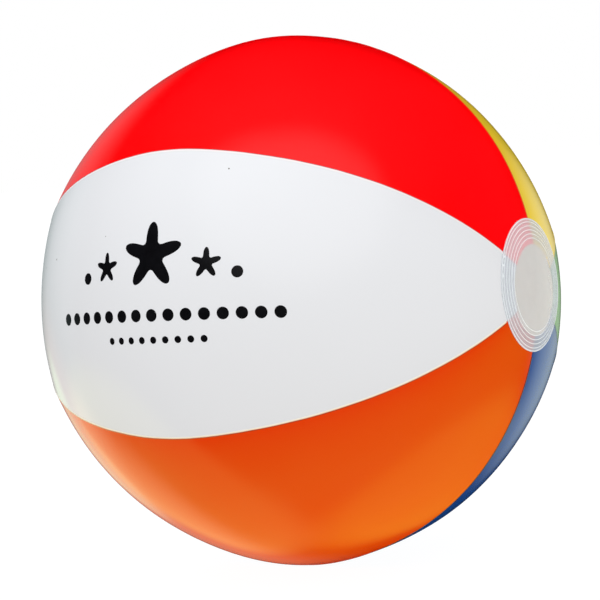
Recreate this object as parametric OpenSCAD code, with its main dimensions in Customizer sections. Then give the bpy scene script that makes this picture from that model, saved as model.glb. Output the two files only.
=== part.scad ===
// Inflatable beach ball: six welded vinyl panels, an end patch at each pole and a
// push-in valve with its plug, strap and check flap, inflated to its full round shape.
// The origin is the ball's centre, +Z is up and the pole axis lies along X:
// the plain end patch is at +X and the valve is at -X.

/* [Ball] */
// Diameter of the inflated ball
ball_d = 305; // [250:5:400]
// Thickness of the vinyl film
film_t = 0.3; // [0.2:0.05:0.4]
// How far the middle of the white panel stands above the level forward direction, in degrees
panel_turn = 8.7; // [0:0.1:30]

/* [Panels] */
// Diameter of the round opening that the panel tips leave at each pole
tip_hole_d = 51; // [45:1:60]
// Width of the welded lap under the next panel, as an angle about the pole axis
lap_angle = 1.5; // [1:0.1:3]
// Width of the step where the lap leaves its own panel, as the same angle
step_angle = 0.6; // [0.4:0.1:1]

/* [Patches] */
// Diameter of the round patch over each pole
patch_d = 74; // [70:1:90]
// Number of raised rings on a patch
ring_count = 5; // [1:1:6]
// Radius of the outermost ring
ring_r = 34.8; // [33:0.1:35]
// Distance from one ring to the next
ring_pitch = 2.25; // [1.5:0.05:2.4]
// Height of a ring above the film
ring_h = 0.25; // [0.15:0.05:0.28]
// How far the end patch is welded off the pole, upward, as an angle at the ball's centre
patch_lean = 1.13; // [0:0.01:2]

/* [Valve seat] */
// Diameter of the hole through the patch and the valve's flange
valve_hole_d = 15.2; // [15:0.1:16]
// Diameter of the flange welded behind the patch
flange_d = 32; // [28:1:40]
// Thickness of the flange
flange_t = 0.7; // [0.5:0.1:1]
// Wall thickness of the folding skirt
skirt_t = 0.5; // [0.4:0.1:0.6]
// Depth at which the skirt meets the tube
skirt_depth = 7; // [6:0.5:8]

/* [Tube] */
// Outer diameter of the tube
tube_d = 8.8; // [8.6:0.1:9]
// Bore of the tube, which a pump nozzle fits
nozzle_d = 6; // [5.6:0.1:6.2]
// Length of the tube below the ball's surface
tube_depth = 14; // [12:0.5:18]
// Diameter of the seat that the plug fits
seat_d = 7; // [6.8:0.1:7.2]
// Depth of the seat below the ball's surface
seat_depth = 3.4; // [3.2:0.1:4]
// Diameter of the collar round the tube's mouth
collar_d = 13.2; // [12:0.1:13.6]
// Height of the collar's underside above the ball's surface
collar_low = 0.5; // [0.4:0.1:0.8]
// Height of the collar's top above the ball's surface
collar_top = 1.6; // [1.5:0.05:1.6]

/* [Plug] */
// Diameter of the plug's cap
cap_d = 10.4; // [9:0.1:11]
// Thickness of the plug's cap
cap_t = 1.25; // [1:0.05:1.5]
// Width of the finger lip on the cap, and of the strap
lip_w = 3.4; // [3:0.1:4]
// How far the finger lip stands out from the cap
lip_out = 1.6; // [1:0.1:2]
// Thickness of the strap and of the finger lip
strap_t = 0.6; // [0.5:0.05:0.7]
// Play between the plug's nose and its seat
nose_play = 0.05; // [0.03:0.01:0.1]
// Depth of the nose below the ball's surface
nose_depth = 3; // [2.5:0.1:3.1]

/* [Check flap] */
// Diameter of the flap
flap_d = 8.4; // [7.5:0.1:8.6]
// Thickness of the flap
flap_t = 0.5; // [0.4:0.05:0.6]
// Width of the flap's hinge
flap_hinge_w = 3; // [2:0.1:4]

/* [Hidden] */
$fn = 180;

ball_r = ball_d / 2;
panel_count = 6;
panel_angle = 360 / panel_count;
// Angles run about the pole axis from the lowest point, and 270 degrees is forward
white_start = 270 - panel_turn - panel_angle / 2;

// Clear gap between pieces that move past each other
gap = 0.1;
// Gap between the collar and the cap that closes over it
cap_low = collar_top + 0.15;

// The strap's live hinge, beside the collar
strap_hinge_x = 8;
strap_hinge_z = 1.9;
strap_hinge_r = 0.45;
ear_x = strap_hinge_x + strap_hinge_r;
ear_top = strap_hinge_z - strap_hinge_r - gap;
// The nose is rounded about the strap's hinge, so it swings clear of its seat
nose_swing_r = strap_hinge_x + seat_d / 2 - nose_play;

// The flap's live hinge, under the tube
flap_top = -tube_depth - gap;
flap_hinge_r = 0.35;
flap_hinge_x = 4.9;
flap_hinge_z = -tube_depth - 0.15 - flap_hinge_r;
lug_h = 1.2;
lug_x = 5.4;

// Turns the Z axis of a piece into the pole axis, with its top towards the end patch
module along_poles() {
    rotate([0, 90, 0]) children();
}

// Turns the Z axis of a piece into the pole axis, with its top towards the valve
module towards_valve() {
    rotate([0, -90, 0]) children();
}

// Sets a valve piece on the ball's surface: its z = 0 is the surface, its +x is up
module at_valve() {
    translate([-ball_r, 0, 0]) towards_valve() children();
}

// Section of a film that lies between two radii, outside the polar opening
module film_section(r_in, r_out, opening_r) {
    intersection() {
        difference() {
            circle(r = r_out);
            circle(r = r_in);
        }
        translate([opening_r, -ball_d]) square([ball_d, 2 * ball_d]);
    }
}

// Band of film from one angle about the pole axis to another
module film_band(r_in, r_out, from_angle, angle) {
    rotate([0, 0, from_angle])
        rotate_extrude(angle = angle)
            film_section(r_in, r_out, tip_hole_d / 2);
}

// One panel: its skin, the lap under the next panel, and the step that joins them
module panel(index) {
    step_start = panel_angle - step_angle;
    along_poles() rotate([0, 0, white_start - index * panel_angle]) {
        film_band(ball_r - film_t, ball_r, 0, panel_angle);
        film_band(ball_r - 2 * film_t, ball_r - film_t, step_start, step_angle + lap_angle);
        film_band(ball_r - 1.5 * film_t, ball_r - film_t / 2, step_start, step_angle);
    }
}

module panel_white() {
    color("#e9ecef") panel(0);
}

module panel_red() {
    color("#f00000") panel(1);
}

module panel_yellow() {
    color("#e3c437") panel(2);
}

module panel_green() {
    color("#9cc47c") panel(3);
}

module panel_blue() {
    color("#1f4fa0") panel(4);
}

module panel_orange() {
    color("#ee6414") panel(5);
}

// Cap of film over a pole, with a round hole in its middle
module film_cap(r_in, r_out, hole_r, edge_r) {
    rotate_extrude()
        intersection() {
            film_section(r_in, r_out, hole_r);
            square([edge_r, 2 * ball_r]);
        }
}

// Raised rings of a patch, half sunk in its film
module rings() {
    film_top = ball_r + film_t;
    for (i = [0 : ring_count - 1]) {
        at_r = ring_r - i * ring_pitch;
        rotate_extrude()
            translate([at_r, sqrt(film_top * film_top - at_r * at_r)])
                circle(r = ring_h, $fn = 24);
    }
}

module end_patch() {
    color("#e4e9ec") rotate([0, -patch_lean, 0]) along_poles() {
        film_cap(ball_r, ball_r + film_t, 0, patch_d / 2);
        rings();
    }
}

module valve_patch() {
    color("#dfe5e8") towards_valve() {
        film_cap(ball_r, ball_r + film_t, valve_hole_d / 2, patch_d / 2);
        rings();
    }
}

// Flange of the valve, welded to the back of the patch
module valve_base() {
    color("#d5dade") towards_valve()
        film_cap(ball_r - flange_t, ball_r, valve_hole_d / 2, flange_d / 2);
}

// Folding cone between the flange and the tube
module valve_skirt() {
    outer_r = valve_hole_d / 2;
    tube_r = tube_d / 2 + gap;
    rim_top = -0.25;
    rim_low = -0.9;
    color("#c9d0d5") at_valve()
        rotate_extrude()
            polygon([[outer_r - skirt_t, rim_top], [outer_r, rim_top], [outer_r, rim_low],
                     [tube_r + skirt_t, -skirt_depth], [tube_r, -skirt_depth],
                     [tube_r, skirt_t - skirt_depth]]);
}

// Tube with its collar, the ear that carries the strap and the lug that carries the flap
module valve_stem() {
    color("#eef1f3") at_valve()
        difference() {
            union() {
                translate([0, 0, -tube_depth]) cylinder(d = tube_d, h = tube_depth + collar_top);
                translate([0, 0, collar_low]) cylinder(d = collar_d, h = collar_top - collar_low);
                translate([seat_d / 2, -lip_w / 2, collar_low])
                    cube([ear_x - seat_d / 2, lip_w, ear_top - collar_low]);
                translate([nozzle_d / 2, -flap_hinge_w / 2, -tube_depth])
                    cube([lug_x - nozzle_d / 2, flap_hinge_w, lug_h]);
            }
            translate([0, 0, -tube_depth - 1]) cylinder(d = nozzle_d, h = tube_depth + 2);
            translate([0, 0, -seat_depth]) cylinder(d = seat_d, h = seat_depth + collar_top + 1);
        }
}

// Disc that rests against the tube's lower end, with its hinge bead
module check_flap() {
    color("#dde2e6") at_valve() {
        translate([0, 0, flap_top - flap_t]) cylinder(d = flap_d, h = flap_t);
        translate([flap_d / 2 - 1, -flap_hinge_w / 2, flap_top - flap_t])
            cube([flap_hinge_x - flap_d / 2 + 1, flap_hinge_w, flap_t - gap]);
        translate([flap_hinge_x, flap_hinge_w / 2, flap_hinge_z])
            rotate([90, 0, 0]) cylinder(r = flap_hinge_r, h = flap_hinge_w);
    }
}

// Plug: cap, finger lip and the nose that fills the seat
module plug() {
    color("#f2f4f6") at_valve() {
        translate([0, 0, cap_low]) cylinder(d = cap_d, h = cap_t);
        translate([-cap_d / 2 - lip_out, -lip_w / 2, cap_low + cap_t - strap_t])
            cube([lip_out + 1, lip_w, strap_t]);
        rotate_extrude()
            intersection() {
                translate([-strap_hinge_x, strap_hinge_z]) circle(r = nose_swing_r);
                translate([0, -nose_depth]) square([seat_d, nose_depth + cap_low + cap_t / 2]);
            }
    }
}

// Strap from the cap's edge to its live hinge on the ear
module plug_strap() {
    color("#f2f4f6") at_valve() {
        difference() {
            translate([0, -lip_w / 2, cap_low]) cube([strap_hinge_x, lip_w, strap_t]);
            translate([0, 0, cap_low - 1]) cylinder(d = cap_d, h = strap_t + 2);
        }
        translate([strap_hinge_x, lip_w / 2, strap_hinge_z])
            rotate([90, 0, 0]) cylinder(r = strap_hinge_r, h = lip_w);
    }
}

panel_white();
panel_red();
panel_yellow();
panel_green();
panel_blue();
panel_orange();
end_patch();
valve_patch();
valve_base();
valve_skirt();
valve_stem();
check_flap();
plug();
plug_strap();
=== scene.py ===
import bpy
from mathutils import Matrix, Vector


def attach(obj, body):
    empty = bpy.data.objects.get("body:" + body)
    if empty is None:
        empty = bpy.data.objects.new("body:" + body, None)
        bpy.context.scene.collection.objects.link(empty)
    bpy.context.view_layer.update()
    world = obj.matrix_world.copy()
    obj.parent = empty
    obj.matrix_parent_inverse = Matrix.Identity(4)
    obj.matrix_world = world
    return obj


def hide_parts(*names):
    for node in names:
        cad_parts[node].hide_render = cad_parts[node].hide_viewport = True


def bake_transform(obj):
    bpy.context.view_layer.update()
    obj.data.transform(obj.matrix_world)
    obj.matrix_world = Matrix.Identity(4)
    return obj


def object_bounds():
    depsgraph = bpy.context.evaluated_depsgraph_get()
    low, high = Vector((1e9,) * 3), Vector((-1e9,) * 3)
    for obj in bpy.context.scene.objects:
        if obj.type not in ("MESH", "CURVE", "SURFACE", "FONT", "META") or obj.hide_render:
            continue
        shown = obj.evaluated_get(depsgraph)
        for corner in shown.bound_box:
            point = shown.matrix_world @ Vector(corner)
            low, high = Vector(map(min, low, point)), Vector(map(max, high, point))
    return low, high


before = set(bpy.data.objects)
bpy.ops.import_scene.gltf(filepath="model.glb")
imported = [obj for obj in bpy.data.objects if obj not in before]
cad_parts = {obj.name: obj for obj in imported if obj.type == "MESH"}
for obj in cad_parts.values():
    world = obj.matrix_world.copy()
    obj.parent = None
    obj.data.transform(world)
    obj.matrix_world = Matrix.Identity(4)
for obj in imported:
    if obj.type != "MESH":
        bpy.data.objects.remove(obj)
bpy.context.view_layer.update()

import ast
import math

import bmesh
import bpy
from mathutils import Matrix, Vector

# ---------------------------------------------------------------------------
# Camera: a long lens 1.22 m from the ball's centre and a little above it. It looks
# between the white front and the plain end patch, and is rolled a few degrees.
scene = bpy.context.scene
camera_azimuth = math.radians(30.93)
camera_elevation = math.radians(5.0)
camera_roll = math.radians(-5.4)
camera_distance = 1.22

back = Vector((math.sin(camera_azimuth) * math.cos(camera_elevation),
               -math.cos(camera_azimuth) * math.cos(camera_elevation),
               math.sin(camera_elevation)))
lens = bpy.data.cameras.new("camera")
lens.sensor_width = 36
lens.lens = 124.3
lens.shift_x = -0.0009
lens.shift_y = -0.0003
lens.dof.use_dof = False
camera = bpy.data.objects.new("camera", lens)
scene.collection.objects.link(camera)
turned_to_ball = back.to_track_quat("Z", "Y").to_matrix() @ Matrix.Rotation(camera_roll, 3, "Z")
camera.matrix_world = Matrix.Translation(back * camera_distance) @ turned_to_ball.to_4x4()
scene.camera = camera
scene.view_settings.view_transform = "Standard"


# ---------------------------------------------------------------------------
# Studio: a white tent, whose soft light changes gently with direction. A gloss mirrors
# one large softbox above the front, a white wall on each side behind the ball, and the
# white paper below it.
def add(tree, kind, links=None, **settings):
    """One node with its settings. links gives an input a socket or a plain value."""
    made = tree.nodes.new(kind)
    for name, value in settings.items():
        setattr(made, name, value)
    for key, value in (links or {}).items():
        if isinstance(value, bpy.types.NodeSocket):
            tree.links.new(value, made.inputs[key])
        else:
            made.inputs[key].default_value = value
    return made


def formula(tree, text, **values):
    """Writes plain arithmetic as Math nodes, and gives the socket that holds the result."""
    signs = {ast.Add: "ADD", ast.Sub: "SUBTRACT", ast.Mult: "MULTIPLY", ast.Div: "DIVIDE"}

    def walk(part):
        if isinstance(part, ast.Constant):
            return float(part.value)
        if isinstance(part, ast.Name):
            return values[part.id]
        if isinstance(part, ast.BinOp):
            sides, operation = (part.left, part.right), signs[type(part.op)]
        else:
            sides, operation = part.args, part.func.id.upper()
        links = dict(enumerate(walk(side) for side in sides))
        return add(tree, "ShaderNodeMath", links, operation=operation).outputs[0]

    return walk(ast.parse(text).body[0].value)


# Name, direction, the cosines where it begins and is full, and its red, green and blue.
# The paper under the ball is lit by the orange panel above it, so it mirrors warm.
gloss_lights = (
    ("softbox", (0.40, -0.55, 0.73), 0.72, 0.90, (0.61, 0.61, 0.61)),
    ("floor behind", (0.196, 0.560, -0.805), 0.851, 0.949, (0.50, 0.60, 0.04)),
    ("floor, left", (-0.687, -0.015, -0.727), 0.765, 0.871, (0.61, 0.60, 0.14)),
    ("left wall, low", (-0.759, 0.435, -0.485), 0.864, 0.986, (0.68, 0.36, 0.27)),
    ("left wall, high", (-0.911, 0.411, -0.023), 0.831, 0.954, (0.18, 0.25, 0.25)),
    ("left wall, edge", (-0.790, 0.540, -0.300), 0.980, 0.995, (0.25, 0.55, 0.30)),
    ("right wall", (0.075, 0.982, -0.173), 0.908, 1.000, (0.68, 0.77, 0.68)),
)
world = bpy.data.worlds.new("studio")
world.use_nodes = True
scene.world = world
if hasattr(world, "cycles"):
    world.cycles.sampling_method = "NONE"
tree = world.node_tree
tree.nodes.clear()
way = add(tree, "ShaderNodeTexCoord").outputs["Generated"]
way_x, way_y, way_z = add(tree, "ShaderNodeSeparateXYZ", {0: way}).outputs
# How bright the tent is in each direction: its level, its slopes and its curves
soft_light = formula(
    tree, "1.136 - 0.044 * x + 0.259 * y - 0.021 * z + 1.018 * (z * z - 0.333) - 0.066 * x * z"
    " - 0.867 * y * z - 0.398 * x * y - 0.202 * (x * x - y * y)", x=way_x, y=way_y, z=way_z)
gloss = add(tree, "ShaderNodeBackground", {0: (0, 0, 0, 1)})
for name, (toward_x, toward_y, toward_z), edge, full, colour in gloss_lights:
    facing = formula(tree, "a * x + b * y + c * z", x=way_x, y=way_y, z=way_z,
                     a=toward_x, b=toward_y, c=toward_z)
    glow = add(tree, "ShaderNodeMapRange", {0: facing, 1: edge, 2: full, 3: 0.0, 4: 1.0},
               interpolation_type="SMOOTHSTEP")
    lamp = add(tree, "ShaderNodeBackground", {0: (*colour, 1), 1: glow.outputs[0]}, label=name)
    gloss = add(tree, "ShaderNodeAddShader", {0: gloss.outputs[0], 1: lamp.outputs[0]})
path = add(tree, "ShaderNodeLightPath")
warm_below, cool_above = (1.0, 0.975, 0.925, 1), (0.97, 0.985, 1.01, 1)
tint = add(tree, "ShaderNodeMix", {0: formula(tree, "0.5 + 0.5 * z", z=way_z),
                                   6: warm_below, 7: cool_above}, data_type="RGBA").outputs[2]
tent = add(tree, "ShaderNodeBackground", {0: tint, 1: soft_light})
paper = add(tree, "ShaderNodeBackground", {0: (1, 1, 1, 1), 1: 1.0})
for_rays = add(tree, "ShaderNodeMixShader", {0: path.outputs["Is Glossy Ray"],
                                             1: tent.outputs[0], 2: gloss.outputs[0]})
for_all = add(tree, "ShaderNodeMixShader", {0: path.outputs["Is Camera Ray"],
                                            1: for_rays.outputs[0], 2: paper.outputs[0]})
add(tree, "ShaderNodeOutputWorld", {0: for_all.outputs[0]})

# ---------------------------------------------------------------------------
# Six film panels: soft PVC film 0.3 mm thick, calendered smooth and glossy, cut as
# pointed gores. Air pressure makes each one flatter in its middle than at its seams,
# where a 4 mm lap is welded under the next panel.
MM = 0.001
ball_radius = 152.5 * MM
film = 0.3 * MM
lap_width = 4 * MM
step_width = 0.7 * MM
tip_radius = 25.5 * MM
panel_angle = math.radians(60)
first_seam = math.radians(51.3)
same_point = 0.004 * MM
crease = math.radians(35)
pvc_ior = 1.53


def linear(hex_colour):
    """An sRGB hex colour as the linear colour that shaders work in."""
    parts = [int(hex_colour[i:i + 2], 16) / 255 for i in (1, 3, 5)]
    return [p / 12.92 if p <= 0.04045 else ((p + 0.055) / 1.055) ** 2.4 for p in parts] + [1]


def geometry_tree(name, inputs, outputs=("Geometry",)):
    """A new tree with named inputs and their usual values, and its two end nodes."""
    made = bpy.data.node_groups.new(name, "GeometryNodeTree")
    kinds = {float: "Float", int: "Int", str: "Geometry", type(None): "Material"}
    for label, value in inputs.items():
        kind = "NodeSocket" + kinds[type(value)]
        socket = made.interface.new_socket(name=label, in_out="INPUT", socket_type=kind)
        if isinstance(value, (int, float)):
            socket.default_value = value
    for label in outputs:
        kind = "NodeSocketVector" if label == "Position" else "NodeSocketGeometry"
        made.interface.new_socket(name=label, in_out="OUTPUT", socket_type=kind)
    return made, made.nodes.new("NodeGroupInput").outputs, made.nodes.new("NodeGroupOutput").inputs


def grown(name, tree, **values):
    """Grows a piece from a tree, and keeps it as a plain mesh with its edges marked."""
    piece = bpy.data.objects.new(name, bpy.data.meshes.new(name))
    scene.collection.objects.link(piece)
    modifier = piece.modifiers.new(tree.name, "NODES")
    modifier.node_group = tree
    for item in tree.interface.items_tree:
        if item.in_out == "INPUT" and item.name.replace(" ", "_").lower() in values:
            modifier[item.identifier] = values[item.name.replace(" ", "_").lower()]
    ready = piece.evaluated_get(bpy.context.evaluated_depsgraph_get())
    mesh = bpy.data.meshes.new_from_object(ready)
    piece.modifiers.clear()
    piece.data = mesh
    mesh.name = name
    mesh.shade_smooth()
    mesh.set_sharp_from_angle(angle=crease)
    return piece


# The ball's skin as a rule: theta runs from the plain pole to the valve's, phi about
# the poles, and a piece laid on the skin gives its own height above it as the lift
skin, given, result = geometry_tree("ball skin", {
    "Theta": 0.0, "Phi": 0.0, "Lift": 0.0, "Radius": ball_radius, "Ridge": 0.011,
    "Flatness": 0.0077, "Flat cap": 0.242, "Full shape": 0.7165, "Bulge": 0.0161,
    "Bulge reach": math.radians(14.5), "Softness": 0.22 * MM, "Softness size": 62 * MM,
    "Bent seam": first_seam + 3 * panel_angle, "Bend": math.radians(0.8),
    "Bend reach": math.radians(14), "Pucker": 0.14 * MM, "Pucker size": 15 * MM,
    "Pucker reach": 9 * MM, "Seed": 3.7}, ("Position",))
sine = formula(skin, "sine(t)", t=given["Theta"])
across = formula(skin, "2 * fract((p - seam) / angle) - 1",
                 p=given["Phi"], seam=first_seam, angle=panel_angle)
seam_number = formula(skin, "floored_modulo(floor((p - seam) / angle + 0.5), 6)",
                      p=given["Phi"], seam=first_seam, angle=panel_angle)
rise = formula(skin, "minimum(1, maximum(0, (s - low) / (high - low)))",
               s=sine, low=given["Flat cap"], high=given["Full shape"])
shaped = formula(skin, "t * t * (3 - 2 * t)", t=rise)
# The seam between white and red was fed by hand and bows 2 mm towards the white panel
bowed = formula(skin, "p + bend * s * exponent(0 - q * q)", p=given["Phi"], bend=given["Bend"],
                s=sine, q=formula(skin, "(p - seam) / reach", p=given["Phi"],
                                  seam=given["Bent seam"], reach=given["Bend reach"]))
direction = add(skin, "ShaderNodeCombineXYZ", {
    0: formula(skin, "cosine(t)", t=given["Theta"]),
    1: formula(skin, "s * sine(p)", s=sine, p=bowed),
    2: formula(skin, "0 - s * cosine(p)", s=sine, p=bowed)}).outputs[0]
softness = add(skin, "ShaderNodeTexNoise", {
    "Vector": direction, "Scale": formula(skin, "r / size", r=given["Radius"],
                                          size=given["Softness size"]), "Detail": 1.0})
pucker_place = add(skin, "ShaderNodeCombineXYZ", {
    0: formula(skin, "t * r / size", t=given["Theta"], r=given["Radius"],
               size=given["Pucker size"]),
    1: formula(skin, "n * 5.3 + seed", n=seam_number, seed=given["Seed"])})
pucker = add(skin, "ShaderNodeTexNoise", {"Vector": pucker_place.outputs[0], "Scale": 1.0,
                                          "Detail": 2.0})
from_seam = formula(skin, "(1 - absolute(a)) * half * r * s / reach", a=across,
                    half=panel_angle / 2, r=given["Radius"], s=sine, reach=given["Pucker reach"])
belt = formula(skin, "bulge * exponent(0 - d * d)", bulge=given["Bulge"],
               d=formula(skin, "(t - half) / reach", t=given["Theta"], half=math.pi / 2,
                         reach=given["Bulge reach"]))
height = formula(
    skin, "r * (1 + w * (ridge * a * a - flat) + belt) + lift"
    " + w * (soft * (n - 0.5) * 2 + deep * (m - 0.5) * 2 * exponent(0 - d * d))",
    r=given["Radius"], w=shaped, belt=belt, ridge=given["Ridge"], a=across, flat=given["Flatness"],
    lift=given["Lift"], soft=given["Softness"], n=softness.outputs[0], deep=given["Pucker"],
    m=pucker.outputs[0], d=from_seam)
placed = add(skin, "ShaderNodeVectorMath", {0: direction, "Scale": height}, operation="SCALE")
skin.links.new(placed.outputs[0], result["Position"])

# Gives a laid surface its thickness inward and closes it all round
wall, given, result = geometry_tree("film wall", {"Geometry": "", "Thickness": film})
pressed = add(wall, "GeometryNodeExtrudeMesh", {
    "Mesh": given["Geometry"], "Offset Scale": formula(wall, "0 - t", t=given["Thickness"]),
    "Individual": False}, mode="FACES")
marked = add(wall, "GeometryNodeStoreNamedAttribute", {
    "Geometry": pressed.outputs["Mesh"], "Name": "inner", "Value": pressed.outputs["Top"]},
    data_type="FLOAT", domain="FACE")
turned = add(wall, "GeometryNodeFlipFaces", {0: marked.outputs[0]})
both = add(wall, "GeometryNodeJoinGeometry", {0: given["Geometry"]})
wall.links.new(turned.outputs[0], both.inputs[0])
closed = add(wall, "GeometryNodeMergeByDistance", {"Geometry": both.outputs[0],
                                                   "Distance": same_point})
wall.links.new(closed.outputs[0], result["Geometry"])

panel_tree, given, result = geometry_tree("film panel", {
    "First angle": 0.0, "Opening": tip_radius, "Film": film, "Lap": lap_width,
    "Step": step_width, "Films deep": 1.08, "Edge crowding": 0.93, "Rows": 201,
    "Columns": 56, "Lap columns": 6, "Film material": None, "Inner material": None})
grid = add(panel_tree, "GeometryNodeMeshGrid", {
    "Size X": 1.0, "Size Y": 1.0, "Vertices X": given["Rows"],
    "Vertices Y": formula(panel_tree, "a + b + 1", a=given["Columns"], b=given["Lap columns"])})
spot = add(panel_tree, "GeometryNodeInputPosition")
along, over, _ = add(panel_tree, "ShaderNodeSeparateXYZ", {0: spot.outputs[0]}).outputs
theta = formula(panel_tree, "arcsine(o / r) + (x + 0.5) * (pi - 2 * arcsine(o / r))",
                o=given["Opening"], r=ball_radius, x=along, pi=math.pi)
column = formula(panel_tree, "(y + 0.5) * (a + b)", y=over, a=given["Columns"],
                 b=given["Lap columns"])
share = formula(panel_tree, "minimum(c, a) / a", c=column, a=given["Columns"])
inside = formula(panel_tree, "angle * (s - crowd * sine(turn * s) / turn)",
                 angle=panel_angle, s=share, crowd=given["Edge crowding"], turn=math.tau)
girth = formula(panel_tree, "r * sine(t)", r=ball_radius, t=theta)
phi = formula(panel_tree, "first + inside + maximum(c - a, 0) / b * lap / g",
              first=given["First angle"], inside=inside, c=column, a=given["Columns"],
              b=given["Lap columns"], lap=given["Lap"], g=girth)
sunk = add(panel_tree, "ShaderNodeMapRange", {
    0: formula(panel_tree, "(angle - inside) * g / step", angle=panel_angle, inside=inside,
               g=girth, step=given["Step"]),
    1: 0.0, 2: 1.0, 3: formula(panel_tree, "0 - f * n", f=given["Film"],
                               n=given["Films deep"]), 4: 0.0},
    interpolation_type="SMOOTHSTEP")
stored = add(panel_tree, "GeometryNodeStoreNamedAttribute", {
    "Geometry": grid.outputs[0], "Name": "across", "Value": share},
    data_type="FLOAT", domain="POINT")
on_skin = add(panel_tree, "GeometryNodeGroup", {"Theta": theta, "Phi": phi,
                                                "Lift": sunk.outputs[0]}, node_tree=skin)
laid = add(panel_tree, "GeometryNodeSetPosition", {"Geometry": stored.outputs[0],
                                                   "Position": on_skin.outputs[0]})
thick = add(panel_tree, "GeometryNodeGroup", {"Geometry": laid.outputs[0],
                                              "Thickness": given["Film"]}, node_tree=wall)
whole = add(panel_tree, "GeometryNodeRealizeInstances", {0: thick.outputs[0]})
painted = add(panel_tree, "GeometryNodeSetMaterial", {"Geometry": whole.outputs[0],
                                                      "Material": given["Film material"]})
inner_face = add(panel_tree, "GeometryNodeInputNamedAttribute", {"Name": "inner"},
                 data_type="FLOAT")
lined = add(panel_tree, "GeometryNodeSetMaterial", {
    "Geometry": painted.outputs[0], "Selection": inner_face.outputs[0],
    "Material": given["Inner material"]})
panel_tree.links.new(lined.outputs[0], result["Geometry"])


def empty_material(name):
    """A new material with no nodes yet, and its tree."""
    material = bpy.data.materials.new(name)
    material.use_nodes = True
    material.node_tree.nodes.clear()
    return material, material.node_tree


def surface_bump(tree, coordinates, size, depth):
    """A normal from noise whose lumps have a real size and depth."""
    lumps = add(tree, "ShaderNodeTexNoise", {"Vector": coordinates, "Scale": 1 / size})
    bump = add(tree, "ShaderNodeBump", {"Strength": 1.0, "Distance": depth,
                                        "Height": lumps.outputs[0]})
    return bump.outputs[0]


# Calendered PVC film, the vinyl of pool toys: pigmented through, rolled between polished
# cylinders and glossy, so it mirrors softly. Its colour is painted a little lighter in the
# middle of a panel than at its seams: painted light for light coming through the film. The
# red and the yellow film also have a faint emission, a painted glow for light crossing the ball.
def calendered_film(name, edge_colour, lit_middle_colour, specks, glow):
    material, tree = empty_material(name)
    place = add(tree, "ShaderNodeTexCoord").outputs["Object"]
    across = add(tree, "ShaderNodeAttribute", {}, attribute_name="across").outputs["Fac"]
    middle_weight = formula(tree, "power(4 * a * (1 - a), 2.2)", a=across)
    cloudy = add(tree, "ShaderNodeTexNoise", {"Vector": place, "Scale": 1 / (45 * MM),
                                              "Detail": 3.0}).outputs[0]
    # Painted light: the middle of the panel is painted lighter, mixed with random cloudiness
    painted_light_and_cloud = formula(tree, "minimum(1, maximum(0, 1.15 * s + 0.5 * (n - 0.5) - 0.08))",
                   s=middle_weight, n=cloudy)
    colour = add(tree, "ShaderNodeMix", {0: painted_light_and_cloud, 6: linear(edge_colour),
                                         7: linear(lit_middle_colour)}, data_type="RGBA")
    # Specks of dirt in the film, 1 mm wide: one or none in each cell 17 mm wide
    dots = add(tree, "ShaderNodeTexVoronoi", {"Vector": place, "Scale": 1 / (17 * MM)})
    rare = add(tree, "ShaderNodeTexWhiteNoise", {0: dots.outputs["Position"]})
    dot = formula(tree, "less_than(d, 0.03) * greater_than(r, 0.72) * s",
                  d=dots.outputs["Distance"], r=rare.outputs["Value"], s=specks)
    dotted = add(tree, "ShaderNodeMix", {0: dot, 6: colour.outputs[2],
                                         7: linear("#77756f")}, data_type="RGBA")
    normal = surface_bump(tree, place, 1.6 * MM, 0.004 * MM)
    haze = formula(tree, "0.10 + 0.05 * n", n=cloudy)
    # The emission is a painted glow, set per panel; the film is no lamp
    shader = add(tree, "ShaderNodeBsdfPrincipled", {
        "Base Color": dotted.outputs[2], "Roughness": haze, "IOR": pvc_ior, "Normal": normal,
        "Emission Color": dotted.outputs[2], "Emission Strength": glow})
    add(tree, "ShaderNodeOutputMaterial", {0: shader.outputs[0]})
    return material


# The same film from inside the ball: dull, unpolished, and with a painted glow in a paler
# tone of its own colour, which stands in for daylight coming through it from outside.
def film_inside(name, colour, own_share=0.42):
    material, tree = empty_material(name)
    place = add(tree, "ShaderNodeTexCoord").outputs["Object"]
    cloudy = add(tree, "ShaderNodeTexNoise", {"Vector": place, "Scale": 1 / (30 * MM)}).outputs[0]
    paler = [own_share * part + (1 - own_share) * painted_daylight
             for part, painted_daylight in zip(linear(colour), linear("#d2c6ca"))]
    tone = add(tree, "ShaderNodeMix", {0: cloudy, 6: [0.9 * p for p in paler[:3]] + [1],
                                       7: paler[:3] + [1]}, data_type="RGBA").outputs[2]
    # The emission is a painted glow on the film's inner face, not a lamp
    shader = add(tree, "ShaderNodeBsdfPrincipled", {
        "Base Color": tone, "Roughness": 0.4, "IOR": pvc_ior, "Emission Color": tone,
        "Emission Strength": 0.55})
    add(tree, "ShaderNodeOutputMaterial", {0: shader.outputs[0]})
    return material


# In the order in which they are welded, from the front panel over the top: the colour at
# the seams and the lighter colour painted in the middle as painted light, how specked it is,
# and how strongly it glows with a painted glow
panels = (
    ("white", "#edeef1", "#f0f1f4", 1.0, 0.0),
    ("red", "#f40003", "#f90006", 0.0, 0.24),
    ("yellow", "#f0ca2c", "#f4d238", 0.0, 0.07),
    ("green", "#5c9947", "#68a652", 0.0, 0.0),
    ("blue", "#16448c", "#22529a", 0.0, 0.0),
    ("orange", "#ef4000", "#ef5500", 0.0, 0.0),
)
for number, (colour, edge_colour, lit_middle_colour, specks, glow) in enumerate(panels):
    outer = calendered_film(f"calendered PVC film, {colour}", edge_colour, lit_middle_colour,
                            specks, glow)
    inner = film_inside(f"inside of PVC film, {colour}", lit_middle_colour)
    piece = grown(f"film_panel_{colour}", panel_tree,
                  first_angle=first_seam + panel_angle * (3 - number),
                  film_material=outer, inner_material=inner)
    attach(piece, "shell")
    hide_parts(f"panel_{colour}")

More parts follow.
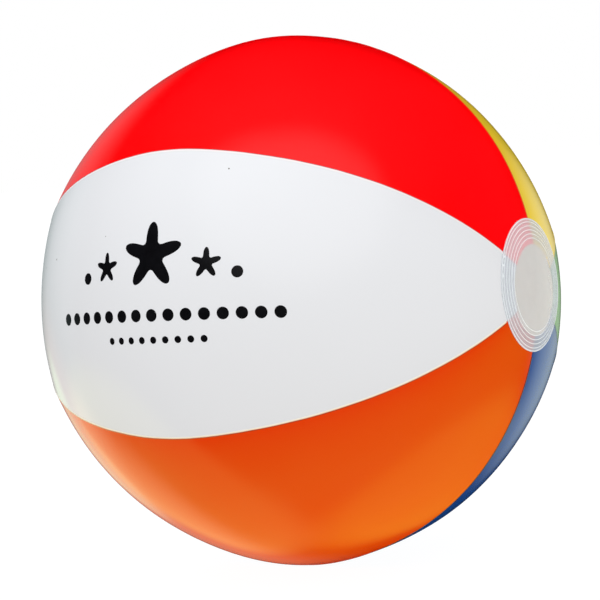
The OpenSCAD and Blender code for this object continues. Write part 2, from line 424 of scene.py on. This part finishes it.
# ---------------------------------------------------------------------------
# Six welded seams: the two films are melted together between hot bars, and a little
# vinyl squeezes out along the cut edge as a low bead in a mix of both colours.
bead_tree, given, result = geometry_tree("weld bead", {
    "Seam angle": 0.0, "Width": 1.9 * MM, "Height": 0.16 * MM, "Sunk edge": 0.02 * MM,
    "Thickness": 0.12 * MM, "Lumps along": 90.0, "End radius": 36.9 * MM, "Rows": 401,
    "Columns": 11, "Bead material": None})
grid = add(bead_tree, "GeometryNodeMeshGrid", {
    "Size X": 1.0, "Size Y": 2.0, "Vertices X": given["Rows"], "Vertices Y": given["Columns"]})
spot = add(bead_tree, "GeometryNodeInputPosition")
along, over, _ = add(bead_tree, "ShaderNodeSeparateXYZ", {0: spot.outputs[0]}).outputs
theta = formula(bead_tree, "arcsine(o / r) + (x + 0.5) * (pi - 2 * arcsine(o / r))",
                o=given["End radius"], r=ball_radius, x=along, pi=math.pi)
phi = formula(bead_tree, "seam + y * w / (2 * r * sine(t))", seam=given["Seam angle"], y=over,
              w=given["Width"], r=ball_radius, t=theta)
lumps = add(bead_tree, "ShaderNodeTexNoise", {
    "Vector": spot.outputs[0], "Scale": given["Lumps along"], "Detail": 1.0})
lift = formula(bead_tree, "h * (1 - y * y) * (0.7 + 0.6 * n) - sunk", h=given["Height"],
               y=over, n=lumps.outputs[0], sunk=given["Sunk edge"])
stored = add(bead_tree, "GeometryNodeStoreNamedAttribute", {
    "Geometry": grid.outputs[0], "Name": "across",
    "Value": formula(bead_tree, "0.5 + 0.5 * y", y=over)}, data_type="FLOAT", domain="POINT")
on_skin = add(bead_tree, "GeometryNodeGroup", {"Theta": theta, "Phi": phi, "Lift": lift},
              node_tree=skin)
laid = add(bead_tree, "GeometryNodeSetPosition", {"Geometry": stored.outputs[0],
                                                  "Position": on_skin.outputs[0]})
thick = add(bead_tree, "GeometryNodeGroup", {
    "Geometry": laid.outputs[0], "Thickness": given["Thickness"]}, node_tree=wall)
whole = add(bead_tree, "GeometryNodeRealizeInstances", {0: thick.outputs[0]})
painted = add(bead_tree, "GeometryNodeSetMaterial", {"Geometry": whole.outputs[0],
                                                     "Material": given["Bead material"]})
bead_tree.links.new(painted.outputs[0], result["Geometry"])


# Melted and cooled PVC: smooth and glossy, its colour running from one film's to the
# other's across the bead, with a darker line painted in as painted shade where the cut edge leaves
# a groove.
def melted_bead(name, tones_and_groove_shade):
    material, tree = empty_material(name)
    place = add(tree, "ShaderNodeTexCoord").outputs["Object"]
    across = add(tree, "ShaderNodeAttribute", {}, attribute_name="across").outputs["Fac"]
    wander = add(tree, "ShaderNodeTexNoise", {"Vector": place, "Scale": 1 / (14 * MM)}).outputs[0]
    # Painted shade: the darker stops of this ramp stand for the shadow in the groove
    ramp = add(tree, "ShaderNodeValToRGB", {
        0: formula(tree, "a + 0.16 * (n - 0.5)", a=across, n=wander)})
    stops = ramp.color_ramp.elements
    for at, tone in zip((0.16, 0.40, 0.68), tones_and_groove_shade[1:]):
        stops.new(at).color = linear(tone)
    stops[0].color, stops[-1].color = linear(tones_and_groove_shade[0]), linear(tones_and_groove_shade[-1])
    stops[-1].position = 0.86
    normal = surface_bump(tree, place, 2.2 * MM, 0.03 * MM)
    shader = add(tree, "ShaderNodeBsdfPrincipled", {
        "Base Color": ramp.outputs[0], "Roughness": 0.16, "IOR": pvc_ior, "Normal": normal})
    add(tree, "ShaderNodeOutputMaterial", {0: shader.outputs[0]})
    return material


# Each seam, its number round the ball, and its tones from the lower angle to the higher,
# whose darkest tones are the painted shade of the groove
seams = (
    ("white_red", 3, ("#c00008", "#a80008", "#fbe4e4", "#fffafa", "#f4f2f4")),
    ("red_yellow", 2, ("#e0b428", "#e89a20", "#f2a02c", "#e8641c", "#ee0404")),
    ("yellow_green", 1, ("#5f9c49", "#7da24a", "#b8bc58", "#d8c24a", "#e3bd26")),
    ("green_blue", 0, ("#123c90", "#16345f", "#2c5a66", "#4d8a55", "#5f9c49")),
    ("blue_orange", 5, ("#ea4200", "#a03010", "#30162a", "#16224e", "#123c90")),
    ("orange_white", 4, ("#fff8ea", "#fffaee", "#ffeccc", "#b03c04", "#d83c00")),
)
for name, number, tones_and_groove_shade in seams:
    melted = melted_bead(f"melted PVC bead, {name.replace('_', ' to ')}", tones_and_groove_shade)
    piece = grown(f"weld_{name}", bead_tree, seam_angle=first_seam + panel_angle * number,
                  bead_material=melted)
    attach(piece, "shell")

# ---------------------------------------------------------------------------
# Printed decoration on the white panel: one black ink, screen printed on the flat film
# before welding. A plain sea star, smaller stars and rows of dots, in no one's style.
print_tree, given, result = geometry_tree("printed row", {
    "Count": 1, "Spacing": 10 * MM, "Height on panel": 0.0, "Size": 5 * MM, "Arms": 0.0,
    "Arm depth": 0.0, "Arm sharpness": 1.5, "Tilt": math.pi / 2, "Rings": 9, "Corners": 61,
    "Panel middle": first_seam + 3.5 * panel_angle, "Ink": 0.035 * MM,
    "Ink thickness": 0.05 * MM, "Ink material": None})
grid = add(print_tree, "GeometryNodeMeshGrid", {
    "Size X": 1.0, "Size Y": 1.0, "Vertices X": given["Rings"],
    "Vertices Y": given["Corners"]})
spot = add(print_tree, "GeometryNodeInputPosition")
outward, around, _ = add(print_tree, "ShaderNodeSeparateXYZ", {0: spot.outputs[0]}).outputs
angle = formula(print_tree, "(y + 0.5) * turn", y=around, turn=math.tau)
lobed = formula(
    print_tree, "1 - deep * (1 - power(0.5 + 0.5 * cosine(arms * (a - tilt)), sharp))",
    deep=given["Arm depth"], arms=given["Arms"], a=angle, tilt=given["Tilt"],
    sharp=given["Arm sharpness"])
reach = formula(print_tree, "(x + 0.5) * size * lobed", x=outward, size=given["Size"],
                lobed=lobed)
drawn = add(print_tree, "GeometryNodeSetPosition", {
    "Geometry": grid.outputs[0], "Position": add(print_tree, "ShaderNodeCombineXYZ", {
        0: formula(print_tree, "r * cosine(a)", r=reach, a=angle),
        1: formula(print_tree, "r * sine(a)", r=reach, a=angle)}).outputs[0]})
joined = add(print_tree, "GeometryNodeMergeByDistance", {"Geometry": drawn.outputs[0],
                                                         "Distance": same_point})
row = add(print_tree, "GeometryNodeMeshLine", {
    "Count": given["Count"], "Start Location": add(print_tree, "ShaderNodeCombineXYZ", {
        0: formula(print_tree, "0 - 0.5 * (n - 1) * gap", n=given["Count"],
                   gap=given["Spacing"]), 1: given["Height on panel"]}).outputs[0],
    "Offset": add(print_tree, "ShaderNodeCombineXYZ", {0: given["Spacing"]}).outputs[0]})
many = add(print_tree, "GeometryNodeInstanceOnPoints", {"Points": row.outputs[0],
                                                        "Instance": joined.outputs[0]})
flat = add(print_tree, "GeometryNodeRealizeInstances", {0: many.outputs[0]})
spot = add(print_tree, "GeometryNodeInputPosition")
right, up, _ = add(print_tree, "ShaderNodeSeparateXYZ", {0: spot.outputs[0]}).outputs
theta = formula(print_tree, "half - x / r", half=math.pi / 2, x=right, r=ball_radius)
phi = formula(print_tree, "middle - y / (r * sine(t))", middle=given["Panel middle"], y=up,
              r=ball_radius, t=theta)
on_skin = add(print_tree, "GeometryNodeGroup", {"Theta": theta, "Phi": phi,
                                                "Lift": given["Ink"]}, node_tree=skin)
laid = add(print_tree, "GeometryNodeSetPosition", {"Geometry": flat.outputs[0],
                                                   "Position": on_skin.outputs[0]})
thick = add(print_tree, "GeometryNodeGroup", {
    "Geometry": laid.outputs[0], "Thickness": given["Ink thickness"]}, node_tree=wall)
whole = add(print_tree, "GeometryNodeRealizeInstances", {0: thick.outputs[0]})
painted = add(print_tree, "GeometryNodeSetMaterial", {"Geometry": whole.outputs[0],
                                                      "Material": given["Ink material"]})
print_tree.links.new(painted.outputs[0], result["Geometry"])

# Screen ink for vinyl: a thin black layer, a little less glossy than the film, in which
# the screen leaves a faint grain. The real grain is finer, and is drawn 1 mm wide to show.
ink, tree = empty_material("screen-printed vinyl ink, black")
place = add(tree, "ShaderNodeTexCoord").outputs["Object"]
uneven = add(tree, "ShaderNodeTexNoise", {"Vector": place, "Scale": 1 / (6 * MM)}).outputs[0]
tone = add(tree, "ShaderNodeMix", {0: uneven, 6: linear("#060607"), 7: linear("#15151a")},
           data_type="RGBA").outputs[2]
normal = surface_bump(tree, place, 1.0 * MM, 0.006 * MM)
shader = add(tree, "ShaderNodeBsdfPrincipled", {"Base Color": tone, "Roughness": 0.22,
                                                "IOR": 1.5, "Normal": normal})
add(tree, "ShaderNodeOutputMaterial", {0: shader.outputs[0]})

# Name, count, spacing, height above the panel's middle and radius in millimetres, then
# the arms, their depth and the corners of the outline
prints = (
    ("star", 1, 0.0, 19.0, 18.5, 5.0, 0.58, 121),
    ("side_stars", 2, 64.0, 14.0, 8.5, 5.0, 0.58, 81),
    ("outer_dots", 2, 98.0, 9.0, 3.2, 0.0, 0.0, 41),
    ("dots", 15, 10.2, -12.5, 3.3, 0.0, 0.0, 41),
    ("small_dots", 9, 7.4, -25.5, 1.9, 0.0, 0.0, 31),
)
for name, count, spacing, at_height, size, arms, depth, corners in prints:
    piece = grown(f"print_{name}", print_tree, count=count, spacing=spacing * MM,
                  height_on_panel=at_height * MM, size=size * MM, arms=arms, arm_depth=depth,
                  corners=corners, ink_material=ink)
    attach(piece, "shell")

# ---------------------------------------------------------------------------
# Two round patches of clear, slightly milky PVC, welded over the poles. The tool presses
# five raised rings, a lip and a short row of dashes into each one.
patch_tree, given, result = geometry_tree("welded patch", {
    "Hole": 0.0, "Edge": 37 * MM, "Plain part": 24.6 * MM, "First ring": 34.8 * MM,
    "Ring pitch": 2.25 * MM, "Ring count": 5, "Ring height": 0.22 * MM,
    "Ring width": 0.30 * MM, "Lip inset": 0.55 * MM, "Lip width": 0.32 * MM,
    "Lip height": 0.16 * MM, "Dash angle": 0.0, "Dash reach": 0.24, "Dash inset": 1.45 * MM,
    "Dash width": 0.42 * MM, "Dash height": 0.14 * MM, "Film": film,
    "Clearance": 0.03 * MM, "Plain rows": 14,
    "Ringed rows": 108, "Corners": 181, "Turned": 0.0, "Lean": 0.0, "Patch material": None})
grid = add(patch_tree, "GeometryNodeMeshGrid", {
    "Size X": 1.0, "Size Y": 1.0, "Vertices Y": given["Corners"],
    "Vertices X": formula(patch_tree, "a + b + 1", a=given["Plain rows"],
                          b=given["Ringed rows"])})
spot = add(patch_tree, "GeometryNodeInputPosition")
outward, around, _ = add(patch_tree, "ShaderNodeSeparateXYZ", {0: spot.outputs[0]}).outputs
station = formula(patch_tree, "(x + 0.5) * (a + b)", x=outward, a=given["Plain rows"],
                  b=given["Ringed rows"])
from_axis = formula(
    patch_tree, "hole + (plain - hole) * minimum(k, a) / a"
    " + (edge - plain) * maximum(k - a, 0) / b", hole=given["Hole"], k=station,
    plain=given["Plain part"], a=given["Plain rows"], edge=given["Edge"], b=given["Ringed rows"])
theta = formula(patch_tree, "arcsine(d / r)", d=from_axis, r=ball_radius)
phi = formula(patch_tree, "(y + 0.5) * turn", y=around, turn=math.tau)
nearest = formula(patch_tree, "minimum(n - 1, maximum(0, round((first - d) / pitch)))",
                  n=given["Ring count"], first=given["First ring"], d=from_axis,
                  pitch=given["Ring pitch"])
ring = formula(patch_tree, "exponent(0 - m * m)", m=formula(
    patch_tree, "(d - first + n * pitch) / w", d=from_axis, first=given["First ring"],
    n=nearest, pitch=given["Ring pitch"], w=given["Ring width"]))
lip = formula(patch_tree, "exponent(0 - m * m)", m=formula(
    patch_tree, "(d - edge + inset) / w", d=from_axis, edge=given["Edge"],
    inset=given["Lip inset"], w=given["Lip width"]))
# Uneven dashes over a thirteenth of the turn, between the lip and the first ring
dash = formula(
    patch_tree, "less_than(absolute(p - at), reach) * exponent(0 - m * m)"
    " * maximum(0, sine(p * 23) * sine(p * 61) + 0.25)", p=phi, at=given["Dash angle"],
    reach=given["Dash reach"], m=formula(
        patch_tree, "(d - edge + inset) / w", d=from_axis, edge=given["Edge"],
        inset=given["Dash inset"], w=given["Dash width"]))
raised = formula(patch_tree, "ring * h + lip * l + dash * k", ring=ring, lip=lip, dash=dash,
                 h=given["Ring height"], l=given["Lip height"], k=given["Dash height"])
white = formula(patch_tree, "minimum(1, power(ring, 1.8) + 0.9 * lip + dash)", ring=ring,
                lip=lip, dash=dash)
stored = add(patch_tree, "GeometryNodeStoreNamedAttribute", {
    "Geometry": grid.outputs[0], "Name": "pressed", "Value": white},
    data_type="FLOAT", domain="POINT")
towards = add(patch_tree, "ShaderNodeCombineXYZ", {
    0: formula(patch_tree, "cosine(t)", t=theta),
    1: formula(patch_tree, "sine(t) * sine(p)", t=theta, p=phi),
    2: formula(patch_tree, "0 - sine(t) * cosine(p)", t=theta, p=phi)}).outputs[0]
lifted = add(patch_tree, "GeometryNodeStoreNamedAttribute", {
    "Geometry": stored.outputs[0], "Name": "raised", "Value": raised},
    data_type="FLOAT", domain="POINT")
smooth = add(patch_tree, "GeometryNodeSetPosition", {
    "Geometry": lifted.outputs[0], "Position": add(patch_tree, "ShaderNodeVectorMath", {
        0: towards, "Scale": formula(patch_tree, "r + c + f", r=ball_radius,
                                     c=given["Clearance"], f=given["Film"])},
        operation="SCALE").outputs[0]})
seam_shut = add(patch_tree, "GeometryNodeMergeByDistance", {"Geometry": smooth.outputs[0],
                                                            "Distance": same_point})
thick = add(patch_tree, "GeometryNodeGroup", {"Geometry": seam_shut.outputs[0],
                                              "Thickness": given["Film"]}, node_tree=wall)
place = add(patch_tree, "GeometryNodeInputPosition").outputs[0]
far_out = add(patch_tree, "ShaderNodeVectorMath", {0: place}, operation="LENGTH").outputs["Value"]
outer_side = formula(patch_tree, "greater_than(d, r + c + 0.5 * f)", d=far_out, r=ball_radius,
                     c=given["Clearance"], f=given["Film"])
lift_by = add(patch_tree, "GeometryNodeInputNamedAttribute", {"Name": "raised"},
              data_type="FLOAT").outputs[0]
away = add(patch_tree, "ShaderNodeVectorMath", {0: add(
    patch_tree, "ShaderNodeVectorMath", {0: place}, operation="NORMALIZE").outputs[0],
    "Scale": lift_by}, operation="SCALE").outputs[0]
embossed = add(patch_tree, "GeometryNodeSetPosition", {
    "Geometry": thick.outputs[0], "Selection": outer_side, "Offset": away})
about_z = add(patch_tree, "GeometryNodeTransform", {
    "Geometry": embossed.outputs[0], "Rotation": add(patch_tree, "ShaderNodeCombineXYZ", {
        1: given["Lean"], 2: given["Turned"]}).outputs[0]})
whole = add(patch_tree, "GeometryNodeRealizeInstances", {0: about_z.outputs[0]})
painted = add(patch_tree, "GeometryNodeSetMaterial", {"Geometry": whole.outputs[0],
                                                      "Material": given["Patch material"]})
patch_tree.links.new(painted.outputs[0], result["Geometry"])


# Clear soft PVC with a milky cast: colours under it show through, paler and cooler, and
# where it was pressed into rings it is clouded and nearly white. It has a faint emission,
# a painted glow that stands in for light it scatters inside itself.
def milky_vinyl(name, tone, see_through, roughness):
    material, tree = empty_material(name)
    place = add(tree, "ShaderNodeTexCoord").outputs["Object"]
    pressed = add(tree, "ShaderNodeAttribute", {}, attribute_name="pressed").outputs["Fac"]
    cloudy = add(tree, "ShaderNodeTexNoise", {"Vector": place, "Scale": 1 / (9 * MM),
                                              "Detail": 3.0}).outputs[0]
    colour = add(tree, "ShaderNodeMix", {0: pressed, 6: linear(tone), 7: linear("#f6fafc")},
                 data_type="RGBA").outputs[2]
    # Light passes both faces of the film, so each face stops its share
    alpha = formula(tree, "minimum(1, 1 - sqrt(t) + 0.06 * (n - 0.5) + 0.5 * p)",
                    t=see_through, n=cloudy, p=pressed)
    normal = surface_bump(tree, place, 2.5 * MM, 0.012 * MM)
    # A faint painted glow: emission standing in for light scattered inside the film
    shader = add(tree, "ShaderNodeBsdfPrincipled", {
        "Base Color": colour, "Roughness": roughness, "IOR": pvc_ior, "Alpha": alpha,
        "Normal": normal, "Emission Color": colour, "Emission Strength": 0.08})
    add(tree, "ShaderNodeOutputMaterial", {0: shader.outputs[0]})
    return material


milky = milky_vinyl("clear PVC film, milky", "#dfe4ea", 0.38, 0.16)
# The plain one was welded 3 mm off its pole, and the other has the hole for the valve
end_patch = grown("patch_plain_end", patch_tree, dash_angle=math.radians(246),
                  lean=math.radians(-1.13), patch_material=milky)
valve_patch = grown("patch_valve_end", patch_tree, hole=7.6 * MM, turned=math.pi,
                    dash_angle=math.radians(100), patch_material=milky)
for piece, node in ((end_patch, "end_patch"), (valve_patch, "valve_patch")):
    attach(piece, "shell")
    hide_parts(node)

# ---------------------------------------------------------------------------
# Valve: a soft PVC moulding behind the valve patch. Its flange is welded to the patch,
# a thin cone folds inward so that the tube can be pushed flush, and a flap inside the
# tube's lower end keeps the air in while the plug is out.
# The valve's moulding has the same faint painted glow as the patches
moulded = milky_vinyl("injection-moulded soft PVC, natural", "#e4ebee", 0.12, 0.24)


def softened(name, node, edge_radius):
    """A CAD node's shape as one merged mesh with the rounded edges of a moulding."""
    shape = bmesh.new()
    shape.from_mesh(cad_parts[node].data)
    bmesh.ops.remove_doubles(shape, verts=shape.verts, dist=0.002 * MM)
    bmesh.ops.dissolve_limit(shape, angle_limit=math.radians(0.8), verts=shape.verts,
                             edges=shape.edges)
    sharp = [e for e in shape.edges if len(e.link_faces) == 2
             and e.calc_face_angle() > math.radians(40)]
    bmesh.ops.bevel(shape, geom=sharp, offset=edge_radius, segments=2, affect="EDGES",
                    profile=0.6, clamp_overlap=True)
    bmesh.ops.triangulate(shape, faces=[f for f in shape.faces if len(f.verts) > 4])
    # These tools leave their points and faces in a new order each run, so they are sorted
    points = sorted(shape.verts, key=lambda point: tuple(point.co))
    number_of = {point: number for number, point in enumerate(points)}
    faces = []
    for face in shape.faces:
        corners = [number_of[point] for point in face.verts]
        first = corners.index(min(corners))
        faces.append(corners[first:] + corners[:first])
    mesh = bpy.data.meshes.new(name)
    mesh.from_pydata([point.co for point in points], [], sorted(faces))
    shape.free()
    mesh.materials.append(moulded)
    mesh.shade_smooth()
    mesh.set_sharp_from_angle(angle=crease)
    piece = bpy.data.objects.new(name, mesh)
    scene.collection.objects.link(piece)
    return piece


# Piece, CAD node, body, and the radius of its moulded edges in millimetres
valve_pieces = (
    ("valve_flange", "valve_base", "shell", 0.12),
    ("valve_tube", "valve_stem", "valve", 0.14),
    ("valve_plug", "plug", "stopper", 0.16),
    ("valve_strap", "plug_strap", "stopper", 0.12),
    ("valve_flap", "check_flap", "flap", 0.10),
)
for name, node, body, edge_radius in valve_pieces:
    piece = softened(name, node, edge_radius * MM)
    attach(piece, body)
    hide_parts(node)

# The folding cone, turned from its outline: radius, and height from the skin, which is
# below it, in millimetres.
cone_outline = ((7.1, -0.25), (7.6, -0.25), (7.6, -0.9), (7.35, -1.5), (6.95, -2.5), (6.5, -3.6),
                (6.05, -4.7), (5.6, -5.8), (5.2, -6.7), (5.0, -7.0), (4.5, -7.0), (4.5, -6.5),
                (4.9, -5.6), (5.35, -4.5), (5.8, -3.4), (6.25, -2.3), (6.75, -1.2), (7.05, -0.6))
cone = bmesh.new()
facets = 96
outlines = []
for step in range(facets):
    a = math.tau * step / facets
    outlines.append([cone.verts.new((-ball_radius - z * MM, r * MM * math.sin(a),
                                     r * MM * math.cos(a))) for r, z in cone_outline])
for step in range(facets):
    near, far = outlines[step], outlines[(step + 1) % facets]
    for k in range(len(cone_outline)):
        m = (k + 1) % len(cone_outline)
        cone.faces.new((near[k], near[m], far[m], far[k]))
bmesh.ops.recalc_face_normals(cone, faces=cone.faces)
mesh = bpy.data.meshes.new("valve_skirt")
cone.to_mesh(mesh)
cone.free()
mesh.materials.append(moulded)
mesh.shade_smooth()
mesh.set_sharp_from_angle(angle=math.radians(50))
skirt = bpy.data.objects.new("valve_cone", mesh)
scene.collection.objects.link(skirt)
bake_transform(skirt)
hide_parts("valve_skirt")

# ---------------------------------------------------------------------------
# Floor: plain white studio paper under the ball. To the camera it is as white as the
# tent behind it, apart from a faint shade where the ball stands.
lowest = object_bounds()[0].z
floor_gap = 0.1 * MM
floor_half = 8.0
mesh = bpy.data.meshes.new("floor")
mesh.from_pydata([(x * floor_half, y * floor_half, lowest - floor_gap)
                  for x, y in ((-1, -1), (1, -1), (1, 1), (-1, 1))], [], [(0, 1, 2, 3)])
floor = bpy.data.objects.new("floor", mesh)
scene.collection.objects.link(floor)
paper_white, tree = empty_material("white studio paper")
bright_share = 0.93
diffuse = add(tree, "ShaderNodeBsdfDiffuse", {0: linear("#f2f2f2")})
bright = add(tree, "ShaderNodeEmission", {0: (1, 1, 1, 1), 1: 1.05})
shade = add(tree, "ShaderNodeMixShader", {0: bright_share, 1: diffuse.outputs[0],
                                          2: bright.outputs[0]})
path = add(tree, "ShaderNodeLightPath")
seen = add(tree, "ShaderNodeMixShader", {0: path.outputs["Is Camera Ray"],
                                         1: diffuse.outputs[0], 2: shade.outputs[0]})
add(tree, "ShaderNodeOutputMaterial", {0: seen.outputs[0]})
mesh.materials.append(paper_white)
floor.visible_glossy = False
floor.visible_diffuse = False
